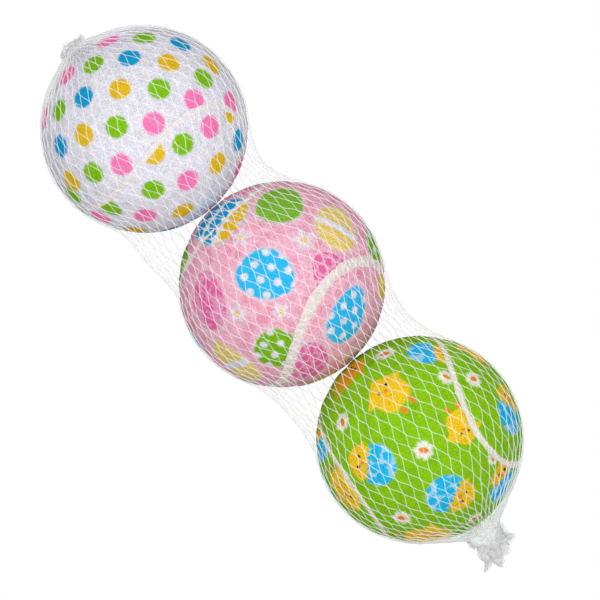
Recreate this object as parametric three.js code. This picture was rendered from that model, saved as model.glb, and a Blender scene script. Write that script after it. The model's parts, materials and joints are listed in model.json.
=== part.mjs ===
// A net pack of three felt-covered play balls: a knitted plastic net tube, gathered at both ends,
// holds a white, a pink and a green ball in a row. Millimetres. The pack lies along X, +Z up.
// Every ball is two rubber half shells, two dog-bone felt panels and one endless seam bead.
import * as THREE from "three";

// Balls
const BALL_R = 32.5; // over the felt
const FELT_T = 3.0; // felt cover
const CORE_R = 28.8; // outside of the rubber core
const CORE_WALL = 3.5;
const CORE_JOINT = 0.3; // open joint between the half shells
const SPACING = 65.6; // from one ball centre to the next
const SEAM_WIDTH = 3.2;
const SEAM_GAP = 0.3; // between the bead and either panel
const SEAM_RECESS = 0.3; // bead below the felt

// Net
const NET_R = 33.9; // middle of the strands, over a ball
const NET_WAIST_R = 25.0; // narrowest place between two balls
const STRAND_T = 0.8;
const KNOT_HALF_WIDTH = 0.7; // a net knot, across the pack
const KNOT_HALF_LENGTH = 0.8; // a net knot, along the pack
const STRANDS_ROUND = 16;
const CUT = 0.4; // gap where one net section ends and the next begins

// Gathered ends, distances from the centre of the end ball
const UPPER_NECK = { reach: 34.6, radius: 3.9 };
const LOWER_NECK = { reach: 36.0, radius: 4.8 };
const LOWER_LEAN = THREE.MathUtils.degToRad(-6); // the lower tail lies a little to one side
const UPPER_SEAL = [[35.9, 3.4], [36.6, 3.9], [37.5, 3.3]];
const UPPER_TUFT = [[37.9, 3.0], [38.6, 3.8], [39.8, 4.8]];
const LOWER_KNOT = [[36.9, 3.8], [38.0, 4.9], [39.6, 5.1], [41.0, 3.8]];
const LOWER_TUFT = [[41.4, 3.6], [43.2, 4.4], [45.2, 6.0], [47.5, 7.4]];

// Bend 0 would make a seam a great circle, and more makes its S deeper.
const BALLS = [
  { name: "white_ball", x: -SPACING, turn: [298, -15, 106], bend: 0.2, felt: 0xe6e5ec, seam: 0xe9e4de },
  { name: "pink_ball", x: 0, turn: [332, -21, 135], bend: 0.2, felt: 0xeeb8cc, seam: 0xf0dfe0 },
  { name: "green_ball", x: SPACING, turn: [15, -160, -33], bend: 0.17, felt: 0x7fc01c, seam: 0xeee8d8 },
];
const RUBBER = 0x3a3836;
const NET_WHITE = 0xf2f4f5;

// A closed solid from a list of triangles, with the flat ones dropped and every face turned outwards.
function solid(triangles) {
  const corners = [];
  let volume = 0;
  for (const [a, b, c] of triangles) {
    const area = b.clone().sub(a).cross(c.clone().sub(a)).length() / 2;
    if (area < 1e-6) continue;
    volume += a.dot(b.clone().cross(c)) / 6;
    corners.push(a, b, c);
  }
  if (volume < 0) corners.reverse();
  return new THREE.BufferGeometry().setFromPoints(corners);
}

// Two triangles that fill the quad a b c d.
function quad(a, b, c, d) {
  return [[a, b, c], [a, c, d]];
}

// The triangles between two rings of points.
function band(ringA, ringB) {
  const next = (ring, i) => ring[(i + 1) % ring.length];
  return ringA.flatMap((p, i) => quad(p, next(ringA, i), next(ringB, i), ringB[i]));
}

function mesh(name, geometry, color, roughness = 0.9) {
  const made = new THREE.Mesh(geometry, new THREE.MeshStandardMaterial({ color, roughness }));
  made.name = name;
  return made;
}

// A point of the unit sphere at t along the seam, moved `side` millimetres of ball surface sideways.
function seamPoint(bend, t, side) {
  const a = 1 - bend;
  const b = bend;
  const rise = 2 * Math.sqrt(a * b);
  const at = new THREE.Vector3(
    a * Math.cos(t) + b * Math.cos(3 * t),
    a * Math.sin(t) - b * Math.sin(3 * t),
    rise * Math.sin(2 * t),
  );
  const along = new THREE.Vector3(
    -a * Math.sin(t) - 3 * b * Math.sin(3 * t),
    a * Math.cos(t) - 3 * b * Math.cos(3 * t),
    2 * rise * Math.cos(2 * t),
  );
  const across = at.clone().cross(along).normalize();
  return at.addScaledVector(across, side / BALL_R).normalize();
}

// The point a fraction f of the way along the great circle from p to q.
function slerp(p, q, f) {
  const angle = p.angleTo(q);
  if (angle < 1e-6) return p.clone();
  const from = p.clone().multiplyScalar(Math.sin((1 - f) * angle) / Math.sin(angle));
  return from.addScaledVector(q, Math.sin(f * angle) / Math.sin(angle));
}

// One dog-bone felt panel. Its rows run across the panel, from one edge of the seam to the other.
function feltPanel(bend, which) {
  const rows = 20;
  const cols = 8;
  const side = which * (SEAM_WIDTH / 2 + SEAM_GAP);
  const grid = [];
  for (let i = 0; i <= rows; i++) {
    const t = (-which * Math.PI) / 4 + (Math.PI * i) / rows;
    const p = seamPoint(bend, t, side);
    const q = seamPoint(bend, (-which * Math.PI) / 2 - t, side);
    grid.push(Array.from({ length: cols + 1 }, (_, j) => slerp(p, q, j / cols)));
  }
  const layer = (radius) => grid.map((row) => row.map((v) => v.clone().multiplyScalar(radius)));
  const top = layer(BALL_R);
  const bottom = layer(BALL_R - FELT_T);
  const triangles = [];
  for (let i = 0; i < rows; i++) {
    for (let j = 0; j < cols; j++) {
      triangles.push(...quad(top[i][j], top[i][j + 1], top[i + 1][j + 1], top[i + 1][j]));
      triangles.push(...quad(bottom[i][j], bottom[i + 1][j], bottom[i + 1][j + 1], bottom[i][j + 1]));
    }
    triangles.push(...quad(top[i][0], top[i + 1][0], bottom[i + 1][0], bottom[i][0]));
    triangles.push(...quad(top[i][cols], bottom[i][cols], bottom[i + 1][cols], top[i + 1][cols]));
  }
  return solid(triangles);
}

// The endless bead of cement that fills the groove between the two panels.
function seamBead(bend) {
  const steps = 40;
  const outer = BALL_R - SEAM_RECESS;
  const inner = CORE_R + SEAM_GAP;
  const triangles = [];
  const section = (i) => {
    const t = -Math.PI / 4 + (2 * Math.PI * i) / steps;
    const left = seamPoint(bend, t, SEAM_WIDTH / 2);
    const right = seamPoint(bend, t, -SEAM_WIDTH / 2);
    const at = (v, radius) => v.clone().multiplyScalar(radius);
    return [at(left, inner), at(right, inner), at(right, outer), at(left, outer)];
  };
  for (let i = 0; i < steps; i++) triangles.push(...band(section(i), section(i + 1)));
  return solid(triangles);
}

// Half of the hollow rubber core, opening towards -Y or +Y.
function coreHalf(which) {
  const round = 18;
  const steps = 5;
  const profile = [];
  const arc = (radius, i) => {
    const lift = Math.asin(CORE_JOINT / 2 / radius);
    const angle = lift + ((Math.PI / 2 - lift) * i) / steps;
    profile.push(new THREE.Vector2(i === steps ? 0 : radius * Math.cos(angle), radius * Math.sin(angle)));
  };
  for (let i = 0; i <= steps; i++) arc(CORE_R - CORE_WALL, steps - i);
  for (let i = 0; i <= steps; i++) arc(CORE_R, i);
  const half = new THREE.LatheGeometry(profile, round);
  if (which < 0) half.rotateX(Math.PI);
  return half;
}

function ball({ name, x, turn, bend, felt, seam }) {
  const made = new THREE.Group();
  made.add(
    mesh(`${name}_core_half_1`, coreHalf(1), RUBBER),
    mesh(`${name}_core_half_2`, coreHalf(-1), RUBBER),
    mesh(`${name}_felt_panel_1`, feltPanel(bend, 1), felt, 1),
    mesh(`${name}_felt_panel_2`, feltPanel(bend, -1), felt, 1),
    mesh(`${name}_seam`, seamBead(bend), seam, 0.8),
  );
  made.position.x = x;
  made.rotation.set(...turn.map(THREE.MathUtils.degToRad));
  return made;
}

// The angle from the pack's axis at which a line from a ring at the neck touches the net's sphere.
function touchAngle({ reach, radius }) {
  const distance = Math.hypot(reach, radius);
  return Math.atan2(radius, reach) + Math.acos(NET_R / distance);
}

// The fillet that carries the net from one ball to the next, and the angle where it leaves a ball.
const FILLET = (NET_WAIST_R ** 2 + (SPACING / 2) ** 2 - NET_R ** 2) / (2 * (NET_R - NET_WAIST_R));
const WAIST_TOUCH = Math.atan2(NET_WAIST_R + FILLET, SPACING / 2);

// The outline of the net tube, x along the pack and y away from its axis, from the upper neck down.
function netOutline() {
  const upperTouch = Math.PI - touchAngle(UPPER_NECK);
  const outline = new THREE.Path();
  outline.moveTo(-SPACING - UPPER_NECK.reach, UPPER_NECK.radius);
  outline.lineTo(-SPACING + NET_R * Math.cos(upperTouch), NET_R * Math.sin(upperTouch));
  outline.absarc(-SPACING, 0, NET_R, upperTouch, WAIST_TOUCH, true);
  for (const x of [-SPACING / 2, SPACING / 2]) {
    const last = x > 0 ? touchAngle(LOWER_NECK) : WAIST_TOUCH;
    outline.absarc(x, NET_WAIST_R + FILLET, FILLET, WAIST_TOUCH - Math.PI, -WAIST_TOUCH, false);
    outline.absarc(x + SPACING / 2, 0, NET_R, Math.PI - WAIST_TOUCH, last, true);
  }
  outline.lineTo(SPACING + LOWER_NECK.reach, LOWER_NECK.radius);
  return outline;
}

// Swings a point of the lower neck or tail sideways, about the centre of the green ball.
function lean(p) {
  const share = THREE.MathUtils.smoothstep(p.x - SPACING, 0, 30);
  const centre = new THREE.Vector3(SPACING, 0, 0);
  return p.sub(centre).applyAxisAngle(new THREE.Vector3(0, 0, 1), share * LOWER_LEAN).add(centre);
}

// The distance along the outline from a neck to the place where its ball is widest.
function neckToWidest(neck) {
  const straight = Math.sqrt(neck.reach ** 2 + neck.radius ** 2 - NET_R ** 2);
  return straight + NET_R * (Math.PI / 2 - touchAngle(neck));
}

const OUTLINE = netOutline();
const OUTLINE_LENGTH = OUTLINE.getLength();
const BALL_TO_BALL = NET_R * (Math.PI - 2 * WAIST_TOUCH) + FILLET * (Math.PI - 2 * WAIST_TOUCH);

// [knot row, distance along the outline]: one row of knots circles each ball at its widest, and the
// other rows are spread evenly between those.
const ROW_STOPS = [
  [0, 0],
  [4, neckToWidest(UPPER_NECK)],
  [10, neckToWidest(UPPER_NECK) + BALL_TO_BALL],
  [16, neckToWidest(UPPER_NECK) + 2 * BALL_TO_BALL],
  [20, OUTLINE_LENGTH],
];

function rowDistance(row) {
  const next = Math.max(1, ROW_STOPS.findIndex(([stop]) => stop >= row));
  const [[row0, from], [row1, to]] = ROW_STOPS.slice(next - 1, next + 1);
  return THREE.MathUtils.mapLinear(row, row0, row1, from, to);
}

// A point on the outer (+1) or inner (-1) skin of the net, at a distance along the outline.
function netPoint(distance, angle, skin) {
  const u = THREE.MathUtils.clamp(distance / OUTLINE_LENGTH, 0, 1);
  const at = OUTLINE.getPointAt(u);
  const along = OUTLINE.getTangentAt(u);
  const overshoot = distance - u * OUTLINE_LENGTH;
  const x = at.x + along.x * overshoot - (along.y * skin * STRAND_T) / 2;
  const r = at.y + along.y * overshoot + (along.x * skin * STRAND_T) / 2;
  return lean(new THREE.Vector3(x, r * Math.sin(angle), r * Math.cos(angle)));
}

// The eight corners of a net knot: left, right, ahead and behind, each on the outer and inner skin.
function netKnot(row, index) {
  const distance = rowDistance(row);
  const step = Math.PI / STRANDS_ROUND;
  const angle = step * (2 * index + 1 + (row % 2));
  const radius = OUTLINE.getPointAt(distance / OUTLINE_LENGTH).y;
  const turn = Math.min(KNOT_HALF_WIDTH / radius, step / 2);
  const pair = (d, a) => [netPoint(d, a, 1), netPoint(d, a, -1)];
  return {
    left: pair(distance, angle - turn),
    right: pair(distance, angle + turn),
    ahead: pair(distance + KNOT_HALF_LENGTH, angle),
    behind: pair(distance - KNOT_HALF_LENGTH, angle),
  };
}

// The strand from the edge p q of one knot towards the edge p2 q2 of another. It may stop short
// of either end, and a free end is closed.
function strand(p, q, p2, q2, stopStart, stopEnd) {
  const length = p[0].distanceTo(p2[0]);
  const ends = [stopStart ? CUT / length : 0, stopEnd ? 1 - CUT / length : 1];
  const rings = ends.map((f) =>
    [[p[0], p2[0]], [q[0], q2[0]], [q[1], q2[1]], [p[1], p2[1]]].map(([a, b]) => a.clone().lerp(b, f)),
  );
  const triangles = band(rings[0], rings[1]);
  if (stopStart) triangles.push(...quad(...rings[0].slice().reverse()));
  if (stopEnd) triangles.push(...quad(...rings[1]));
  return triangles;
}

// The strands between knot row `row` and the next one.
function strandRow(row, stopStart, stopEnd) {
  const triangles = [];
  for (let i = 0; i < STRANDS_ROUND; i++) {
    const from = netKnot(row, i);
    const right = netKnot(row + 1, i + (row % 2));
    const left = netKnot(row + 1, i + (row % 2) - 1);
    triangles.push(...strand(from.ahead, from.right, right.left, right.behind, stopStart, stopEnd));
    triangles.push(...strand(from.left, from.ahead, left.behind, left.right, stopStart, stopEnd));
  }
  return triangles;
}

// A net section that owns knot rows first to last. A loose section also owns the strands that
// reach out to its neighbours' knots; a firm one ends at its own knots.
function netSection(first, last, reachBack, reachAhead) {
  const triangles = [];
  for (let row = first; row <= last; row++) {
    for (let i = 0; i < STRANDS_ROUND; i++) {
      const { left, right, ahead, behind } = netKnot(row, i);
      triangles.push(...quad(left[0], behind[0], right[0], ahead[0]));
      triangles.push(...quad(left[1], ahead[1], right[1], behind[1]));
      const cap = (p, q) => triangles.push(...quad(p[0], q[0], q[1], p[1]));
      if (row === first && !reachBack) {
        cap(right, behind);
        cap(behind, left);
      }
      if (row === last && !reachAhead) {
        cap(left, ahead);
        cap(ahead, right);
      }
    }
    if (row < last) triangles.push(...strandRow(row, false, false));
  }
  if (reachBack) triangles.push(...strandRow(first - 1, true, false));
  if (reachAhead) triangles.push(...strandRow(last, false, true));
  return solid(triangles);
}

// A bunch of gathered net from a list of [distance from ball centre, radius], pleated all round.
function bunch(stations, direction, pleats, depth) {
  const round = pleats * 4;
  const ring = ([reach, radius]) =>
    Array.from({ length: round }, (_, i) => {
      const angle = (2 * Math.PI * i) / round;
      const r = radius * (1 + depth * Math.cos(pleats * angle));
      return new THREE.Vector3(reach, r * Math.cos(angle), r * Math.sin(angle));
    });
  const rings = stations.map(ring);
  const triangles = rings.slice(1).flatMap((next, i) => band(rings[i], next));
  const close = (points, reach, order) => {
    const middle = new THREE.Vector3(reach, 0, 0);
    points.forEach((p, i) => {
      const q = points[(i + 1) % round];
      triangles.push(order > 0 ? [middle, p, q] : [middle, q, p]);
    });
  };
  close(rings[0], stations[0][0], -1);
  close(rings.at(-1), stations.at(-1)[0], 1);
  const made = solid(triangles);
  if (direction < 0) made.rotateZ(Math.PI);
  if (direction > 0) made.rotateZ(LOWER_LEAN);
  return made.translate(direction * SPACING, 0, 0);
}

const pack = new THREE.Group();
pack.name = "ball_net_pack";
for (const spec of BALLS) pack.add(ball(spec));

// Firm net pockets round the balls, loose net at the waists and the necks.
const NET_SECTIONS = [
  ["net_upper_neck", 0, 1, false, true],
  ["net_upper_pocket", 2, 6, false, false],
  ["net_upper_waist", 7, 8, true, true],
  ["net_middle_pocket", 9, 11, false, false],
  ["net_lower_waist", 12, 13, true, true],
  ["net_lower_pocket", 14, 18, false, false],
  ["net_lower_neck", 19, 20, true, false],
];
for (const [name, ...rows] of NET_SECTIONS) pack.add(mesh(name, netSection(...rows), NET_WHITE, 0.4));
pack.add(
  mesh("upper_tail_seal", bunch(UPPER_SEAL, -1, 7, 0.08), NET_WHITE, 0.4),
  mesh("upper_tail_tuft", bunch(UPPER_TUFT, -1, 7, 0.2), NET_WHITE, 0.5),
  mesh("lower_tail_knot", bunch(LOWER_KNOT, 1, 7, 0.08), NET_WHITE, 0.4),
  mesh("lower_tail_tuft", bunch(LOWER_TUFT, 1, 7, 0.2), NET_WHITE, 0.5),
);

// The frame: the middle of the underside of the pack's box is the origin.
const box = new THREE.Box3().setFromObject(pack, true);
const middle = box.getCenter(new THREE.Vector3());
pack.position.set(-middle.x, -middle.y, -box.min.z);

export default pack;
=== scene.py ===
"""Looks for a net pack of three felt play balls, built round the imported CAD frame.

Lengths are in millimetres and are turned into metres by MM as they go into Blender. Colours are
linear RGB. The pack lies along X. The picture looks straight down on it, with the pack running down
to the right.
"""
import json
import math

import bpy
import numpy as np
from mathutils import Euler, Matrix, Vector


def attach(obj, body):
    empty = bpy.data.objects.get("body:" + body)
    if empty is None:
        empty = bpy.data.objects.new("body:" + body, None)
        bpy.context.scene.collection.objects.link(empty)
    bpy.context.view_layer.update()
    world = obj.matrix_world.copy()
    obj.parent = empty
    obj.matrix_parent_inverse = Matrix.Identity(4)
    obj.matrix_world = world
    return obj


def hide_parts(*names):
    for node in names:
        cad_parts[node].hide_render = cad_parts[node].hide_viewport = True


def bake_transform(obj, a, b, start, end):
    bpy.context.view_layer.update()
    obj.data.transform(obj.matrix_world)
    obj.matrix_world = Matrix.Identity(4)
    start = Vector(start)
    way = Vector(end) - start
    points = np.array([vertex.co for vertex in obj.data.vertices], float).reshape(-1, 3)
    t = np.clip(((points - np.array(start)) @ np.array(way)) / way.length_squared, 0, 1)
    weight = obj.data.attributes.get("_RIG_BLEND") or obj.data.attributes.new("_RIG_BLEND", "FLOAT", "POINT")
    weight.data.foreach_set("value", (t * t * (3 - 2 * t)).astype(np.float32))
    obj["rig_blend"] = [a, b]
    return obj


PI = math.pi
MM = 0.001
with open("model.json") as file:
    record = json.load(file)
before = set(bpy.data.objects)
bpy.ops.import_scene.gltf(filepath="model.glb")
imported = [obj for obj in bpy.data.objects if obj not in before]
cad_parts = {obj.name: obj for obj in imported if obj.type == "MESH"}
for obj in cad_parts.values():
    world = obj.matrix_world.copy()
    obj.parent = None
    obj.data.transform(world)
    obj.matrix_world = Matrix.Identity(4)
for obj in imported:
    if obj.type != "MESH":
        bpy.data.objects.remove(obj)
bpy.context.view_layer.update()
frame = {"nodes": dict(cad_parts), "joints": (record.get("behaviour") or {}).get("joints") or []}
JOINTS = {joint["name"]: joint for joint in frame["joints"]}

# The picture's right, its up and the way to its viewer.
VIEW_TURN = math.radians(48.4)
RIGHT = np.array([math.cos(VIEW_TURN), math.sin(VIEW_TURN), 0.0])
UP = np.array([-math.sin(VIEW_TURN), math.cos(VIEW_TURN), 0.0])
TOWARDS = np.array([0.0, 0.0, 1.0])

# Each ball's centre is on its spin joint. The balls stand SPACING apart.
CENTRES = {
    name: np.array(JOINTS[name + "_spin"]["pos_m"]) / MM
    for name in ("white_ball", "pink_ball", "green_ball")
}
SPACING = CENTRES["pink_ball"][0] - CENTRES["white_ball"][0]


def node_radius(node, centre):
    """The largest distance of a CAD node's vertices from a centre."""
    points = np.array([v.co for v in frame["nodes"][node].data.vertices]) / MM
    return np.linalg.norm(points - centre, axis=1).max()


BALL_R = node_radius("pink_ball_felt_panel_1", CENTRES["pink_ball"])
CORE_R = node_radius("pink_ball_core_half_1", CENTRES["pink_ball"])
PILE = 0.28
FELT_R = BALL_R + PILE
FELT_EDGE_R = 0.8

# The seam bead: how far it tucks under the felt on each side, how far its edge lies below the
# felt's surface, and how much its middle rises above its edge.
BEAD_TUCK = 0.45
BEAD_SINK = 0.62
BEAD_CROWN = 0.38

# How each ball lies in the net (degrees about x, y and z) and how deep its seam's S is, both as in
# the CAD, then the seam's width and the height of its crinkles. Where a print runs over the pink
# ball's seam (across and up, as for a motif), the seam nearly closes.
SEAM_SHAPES = {
    "white_ball": {"turn": (298, -15, 106), "bend": 0.20, "width": 1.6, "crinkle": 0.06},
    "pink_ball": {"turn": (332, -21, 135), "bend": 0.20, "width": 3.4, "crinkle": 0.10,
                  "pinch": (-20.5, 19.5)},
    "green_ball": {"turn": (15, -160, -33), "bend": 0.17, "width": 1.9, "crinkle": 0.09},
}
PINCH_DEPTH = 0.93
PINCH_REACH = 12

# The felt's colour and its cloudy shade, the kinds of print on it, and the seam's colour.
BALL_LOOKS = {
    "white_ball": {
        "felt": (0.80, 0.79, 0.87), "shade": (0.70, 0.69, 0.76), "seam": (0.90, 0.85, 0.84),
        "kinds": ["dot"],
    },
    "pink_ball": {
        "felt": (0.88, 0.52, 0.64), "shade": (0.80, 0.30, 0.42), "seam": (0.90, 0.82, 0.78),
        "kinds": ["egg", "flower"],
    },
    "green_ball": {
        "felt": (0.27, 0.58, 0.008), "shade": (0.21, 0.49, 0.006), "seam": (0.92, 0.86, 0.80),
        "kinds": ["daisy", "chick", "hatchling"],
    },
}

# Print colours.
PINK = (0.93, 0.21, 0.48)
GREEN = (0.225, 0.52, 0.008)
BLUE = (0.006, 0.34, 0.63)
YELLOW = (0.77, 0.50, 0.016)
MAGENTA = (0.82, 0.14, 0.38)
LIME = (0.19, 0.47, 0.006)
SKY = (0.028, 0.50, 0.86)
GOLD = (0.82, 0.60, 0.07)
PAPER = (0.76, 0.74, 0.80)
ORANGE = (0.84, 0.25, 0.03)
PETAL = (0.80, 0.80, 0.68)
DOWN = (0.86, 0.59, 0.018)
# A darker copy of the down: painted shade for the chick that lies beside the pink ball.
SHADED_DOWN = (0.70, 0.36, 0.006)
FLECK = (0.82, 0.40, 0.02)
HATCHLING_FLECK = (0.82, 0.42, 0.02)
SHELL = (0.014, 0.49, 0.82)
PALE_SHELL = (0.36, 0.67, 0.86)
INK = (0.02, 0.02, 0.03)

PLAIN, DOTTED, STRIPED, BANDED, FLOWERED, SCALLOPED, BEADED = range(7)


def motif(kind, across, up, top, size, width=1.0, tint=YELLOW, pattern=PLAIN, over_seam=False):
    """A print on the upper side of a ball, as seen in the picture.

    across and up are its distances from the ball's middle, top is the direction of its top in
    degrees (90 is up), size is half its length and width is its width over its length.
    """
    return {
        "kind": kind, "at": picture_direction(across, up), "top": top, "size": size, "width": width,
        "tint": tint, "pattern": pattern, "over_seam": over_seam,
    }


def picture_direction(across, up):
    """The direction from a ball's centre to the place of its upper side seen at (across, up)."""
    height = math.sqrt(max(FELT_R**2 - across**2 - up**2, 1.0))
    return unit(across * RIGHT + up * UP + height * TOWARDS)


def unit(v):
    return v / np.linalg.norm(v, axis=-1, keepdims=True)


DOT_R = 3.6
HALF_HIDDEN_DOT = (27.2, 4.4)
WHITE_DOTS = {
    BLUE: [(-19, 10), (-4.5, 22.5), (11.5, 27), (-26.5, -5.5), (9, -31.5), (30, -3.5)],
    YELLOW: [(-7.5, 12.5), (-19, -2), (8, 21), (21.5, 20.5), (-23, -16.5), (3.3, -8.0), (23.5, -11),
             (12.5, -26), (-3, -32), HALF_HIDDEN_DOT],
    GREEN: [(5, 12.5), (-8.5, 0.5), (-16, -14), (-16, 20.5), (19, 16), (0, 29), (-27, 6),
            (12.5, -5), (3, -19.5), (-10.5, -25.3), (-22.5, -21)],
    PINK: [(16, 9), (3.2, 1.5), (-7, -11.5), (-11.5, 28), (-24.5, 17), (21, 0.5), (30, -12.5),
           (14, -16.5), (0.5, -27.5), (-14, -28), (27.5, 8.5), (-31.8, 3.5)],
}
WHITE_FRONT = [
    motif("dot", *place, 90, DOT_R * (0.72 if place == HALF_HIDDEN_DOT else 1), tint=tint)
    for tint, places in WHITE_DOTS.items()
    for place in places
]
PINK_FRONT = [
    motif("egg", -0.6, 26.0, 80, 9.0, 0.82, LIME, STRIPED),
    motif("egg", 17.6, 18.6, 82, 9.0, 0.82, GOLD, BANDED),
    motif("egg", -5.3, 3.5, 80, 7.9, 1.18, SKY, DOTTED),
    motif("egg", 21.3, -9.9, 58, 9.6, 0.74, SKY, DOTTED),
    motif("egg", -23.8, -5.3, 99, 9.6, 0.78, MAGENTA, FLOWERED),
    motif("egg", 15.6, 3.6, 135, 7.4, 0.85, MAGENTA, SCALLOPED),
    motif("egg", -1.6, -20.6, 100, 7.6, 0.95, LIME, DOTTED),
    motif("egg", 8.4, -25.2, 80, 9.2, 0.72, MAGENTA, SCALLOPED),
    motif("egg", -15.0, -25.2, 142, 9.6, 0.66, GOLD, BANDED),
    motif("egg", -20.6, 20.8, 137, 11.5, 0.80, BLUE, BEADED, over_seam=True),
    motif("egg", -32.0, 6.5, 90, 8.0, 0.8, LIME, STRIPED),
    motif("egg", 29.6, 12.0, 110, 7.5, 0.8, LIME, DOTTED),
    motif("egg", 32.0, 1.5, 95, 6.5, 0.8, GOLD, STRIPED),
    motif("egg", 14.5, -29.6, 40, 6.0, 0.8, GOLD, PLAIN),
    motif("flower", 7.0, 14.0, 90, 4.6, tint=PINK),
    motif("flower", -13.0, 14.8, 60, 4.0, tint=PINK),
    motif("flower", -14.0, -9.3, 75, 4.0, tint=PINK),
    motif("flower", -0.3, -8.6, 100, 3.6, tint=PINK),
    motif("flower", 20.8, -22.6, 40, 4.0, tint=PINK),
]
GREEN_FRONT = [
    motif("chick", -9.8, 14.9, 142, 8.2, tint=DOWN),
    motif("chick", 13.2, 4.6, -62, 6.8, tint=DOWN, over_seam=True),
    motif("hatchling", -15.8, -7.6, 178, 8.6, 0.8, SHELL),
    motif("hatchling", 10.2, -17.6, -22, 8.6, 0.8, SHELL),
    motif("chick", -24.3, -15.9, -40, 8.6, tint=DOWN),
    motif("hatchling", 3.6, 28.0, 8, 7.6, 0.8, SHELL),
    motif("hatchling", 28.6, 9.9, 102, 8.6, 0.8, SHELL),
    motif("chick", 17.0, 27.6, 150, 6.8, tint=DOWN),
    motif("hatchling", -31.6, -0.3, 110, 7.0, 0.8, SHELL),
    # This chick lies in the shade beside the pink ball, so its down is painted darker.
    motif("chick", -22.8, 20.6, 30, 7.6, tint=SHADED_DOWN),
    motif("chick", 2.2, -31.0, 10, 9.0, tint=DOWN),
    motif("hatchling", 26.4, -13.0, 95, 7.6, 0.8, SHELL),
    motif("daisy", 1.0, -3.2, 90, 3.4),
    motif("daisy", 16.9, 19.2, 120, 3.2),
    motif("daisy", 8.3, 19.9, 60, 3.0),
    motif("daisy", -24.7, 5.7, 20, 3.3),
    motif("daisy", -11.1, 27.3, 70, 3.8),
    motif("daisy", -5.7, -24.7, 90, 3.3),
    motif("daisy", 17.4, -25.0, 50, 3.1),
    motif("daisy", 23.2, -5.8, 0, 2.4),
]
KINDS = {"dot": 0, "egg": 1, "flower": 2, "daisy": 3, "chick": 4, "hatchling": 5}
FRONTS = {"white_ball": WHITE_FRONT, "pink_ball": PINK_FRONT, "green_ball": GREEN_FRONT}

# Prints for the places that the picture doesn't show: how far each stays from the others, and the
# choices of kind, half length, width over length, colour and pattern.
BACKS = {
    "white_ball": [
        (11.3, [("dot", DOT_R, 1, tint, PLAIN) for tint in (PINK, GREEN, BLUE, YELLOW)]),
    ],
    "pink_ball": [
        (18.5, [
            ("egg", 8.4, 0.82, SKY, DOTTED), ("egg", 8.2, 0.85, GOLD, BANDED),
            ("egg", 8.6, 0.80, MAGENTA, SCALLOPED), ("egg", 8.2, 0.85, LIME, STRIPED),
            ("egg", 8.6, 0.80, MAGENTA, FLOWERED), ("egg", 9.0, 0.85, BLUE, BEADED),
        ]),
        (11.5, [("flower", 3.4, 1, PINK, PLAIN)]),
    ],
    "green_ball": [
        (18.5, [("chick", 7.6, 1, DOWN, PLAIN), ("hatchling", 8.4, 0.8, SHELL, PLAIN)]),
        (11.5, [("daisy", 3.5, 1, YELLOW, PLAIN)]),
    ],
}

# The net. Strands cross in rows of joints, and at a joint two strands run side by side.
MESHES_ROUND = 50
STRAND_R = 0.145
JOINT_LENGTH = 1.6
JOINT_HALF_GAP = 0.13
ROW_PITCH = 4.9
NET_R = FELT_R + 0.22
# How far legs between joints bow out, and how far a joint may stand off the surface.
LEG_BOW = 0.08
JOINT_LIFT = 0.12
# The necks: how far each ends from its ball's centre, and its radius there.
UPPER_NECK = (33.6, 4.4)
LOWER_NECK = (35.8, 4.8)
LOWER_LEAN = math.radians(-6)
# The waists: the mean radius at the narrowest place, and how much more it is on the -Y side.
UPPER_WAIST = (24.5, 3.0)
LOWER_WAIST = (24.8, 1.1)

# The pieces of the net, with x from the middle ball's centre: where each starts and stops, its body
# or the two bodies it bends between, where the bend starts and stops, and the CAD node it replaces.
# The waists bend close to the middle ball, because both their joints turn about its centre.
NET_PIECES = [
    ("net_neck_upper", (-SPACING - 34, -SPACING - 24), ("upper_tail", "upper_net"),
     (-SPACING - 35, -SPACING - 33), "net_upper_neck"),
    ("net_pocket_upper", (-SPACING - 24, -SPACING + 22), ("upper_net",),
     None, "net_upper_pocket"),
    ("net_waist_upper_1", (-SPACING + 22, -27), ("upper_net", "upper_waist"),
     (-38, -27), "net_upper_waist"),
    ("net_waist_upper_2", (-27, -14), ("upper_waist", "middle_net"),
     (-27, -15), "net_upper_waist"),
    ("net_pocket_middle", (-14, 14), ("middle_net",),
     None, "net_middle_pocket"),
    ("net_waist_lower_1", (14, 27), ("middle_net", "lower_waist"),
     (15, 27), "net_lower_waist"),
    ("net_waist_lower_2", (27, SPACING - 22), ("lower_waist", "lower_net"),
     (27, 38), "net_lower_waist"),
    ("net_pocket_lower", (SPACING - 22, SPACING + 24), ("lower_net",),
     None, "net_lower_pocket"),
    ("net_neck_lower", (SPACING + 24, SPACING + 38), ("lower_net", "lower_tail"),
     (SPACING + 33, SPACING + 36), "net_lower_neck"),
]


# ---- Small helpers ----
def turn_matrix(degrees):
    """The turn about x after the turn about y after the turn about z, as in the CAD."""
    return np.array(Euler([math.radians(d) for d in degrees], "ZYX").to_matrix())


def ripple(points, wavelength, seed, waves=28):
    """Smooth noise of about unit strength at points, from plane waves in random directions."""
    rng = np.random.default_rng(seed)
    directions = unit(rng.normal(size=(waves, 3))) * rng.uniform(0.7, 1.4, (waves, 1))
    phases = rng.uniform(0, 2 * PI, waves)
    total = np.zeros(points.shape[:-1])
    for direction, phase in zip(directions, phases):
        total += np.sin(points @ direction * (2 * PI / wavelength) + phase)
    return total * math.sqrt(2 / waves)


def mesh_object(name, points, faces, material):
    """A smooth mesh object from points and from faces as lists of point numbers."""
    mesh = bpy.data.meshes.new(name)
    vertices = np.asarray(points).reshape(-1, 3) * MM
    mesh.from_pydata(vertices.tolist(), [], np.asarray(faces).tolist())
    mesh.shade_smooth()
    made = bpy.data.objects.new(name, mesh)
    bpy.context.scene.collection.objects.link(made)
    mesh.materials.append(material)
    return made


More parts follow.
